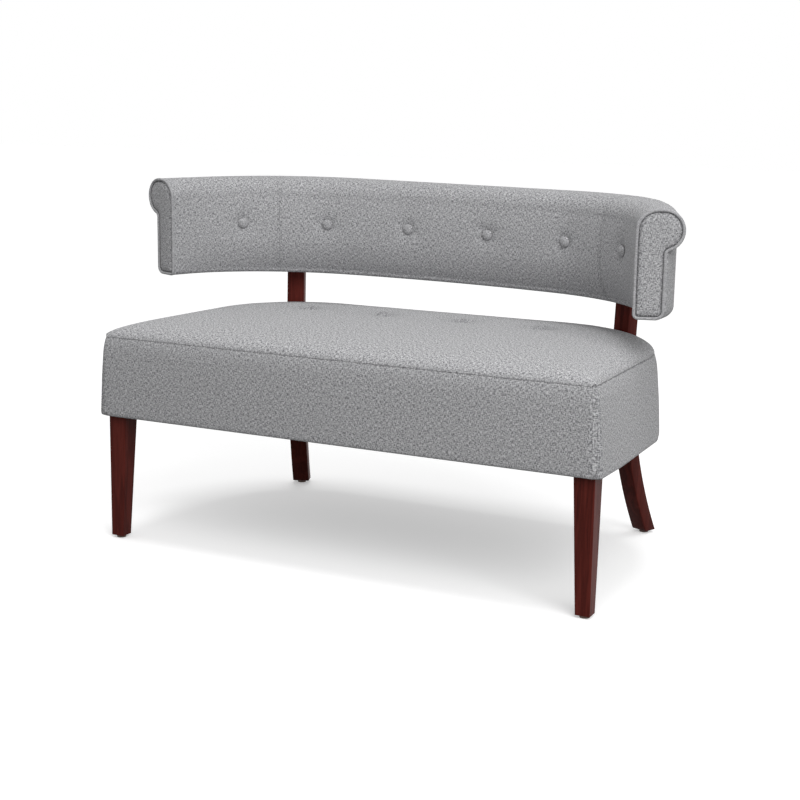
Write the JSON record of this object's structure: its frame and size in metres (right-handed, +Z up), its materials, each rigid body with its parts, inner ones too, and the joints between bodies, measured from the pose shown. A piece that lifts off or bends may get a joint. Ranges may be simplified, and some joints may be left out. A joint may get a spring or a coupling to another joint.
{
  "type": "settee",
  "caption": "Compact upholstered settee with a crowned seat, a rolled and buttoned back that curves round it above an open gap, tapered front legs and swept rear legs.",
  "frame": {"origin": "middle of the footprint's bounding box, on the floor", "axes": "+X to the right as seen from the front, +Y to the back, +Z up; the seat faces -Y"},
  "size_m": [1.2464, 0.6732, 0.76],
  "materials": {
    "upholstery": "heathered grey plain weave",
    "leg_wood": "dark cherry stain, satin",
    "frame_wood": "planed, unfinished",
    "foam": "soft foam and wadding",
    "felt": "needled felt",
    "dust_cloth": "black non-woven cloth",
    "twine": "waxed twine",
    "steel": "zinc plated",
    "glide": "brown moulded"
  },
  "bodies": {
    "root": {"front_leg_left": "leg_wood", "front_leg_right": "leg_wood", "rear_leg_left": "leg_wood", "rear_leg_right": "leg_wood", "foot_glides": "glide", "front_leg_bolts": "steel", "rear_leg_bolts": "steel", "seat_front_rail": "frame_wood", "seat_back_rail": "frame_wood", "seat_side_rail_left": "frame_wood", "seat_side_rail_right": "frame_wood", "seat_corner_rail_left": "frame_wood", "seat_corner_rail_right": "frame_wood", "seat_centre_brace": "frame_wood", "front_corner_block_left": "frame_wood", "front_corner_block_right": "frame_wood", "corner_block_screws": "steel", "seat_springs": "steel", "spring_clips": "steel", "spring_felt": "felt", "seat_foam": "foam", "seat_border_wadding": "foam", "seat_top_panel": "upholstery", "seat_front_band": "upholstery", "seat_side_band_left": "upholstery", "seat_side_band_right": "upholstery", "seat_back_band": "upholstery", "seat_tuft_ties": "twine", "dust_cover": "dust_cloth", "back_bottom_plate": "frame_wood", "back_top_plate": "frame_wood", "back_studs": "frame_wood", "back_end_plate_left": "frame_wood", "back_end_plate_right": "frame_wood", "back_frame_screws": "steel", "back_foam_centre": "foam", "back_foam_shoulder_left": "foam", "back_foam_shoulder_right": "foam", "back_foam_wing_left": "foam", "back_foam_wing_right": "foam", "back_centre_panel": "upholstery", "back_wing_panel_left": "upholstery", "back_wing_panel_right": "upholstery", "back_outer_panel": "upholstery", "back_end_panel_left": "upholstery", "back_end_panel_right": "upholstery", "welt_cord_left": "upholstery", "welt_cord_right": "upholstery", "back_buttons": "upholstery", "button_twines": "twine"}
  },
  "joints": []
}
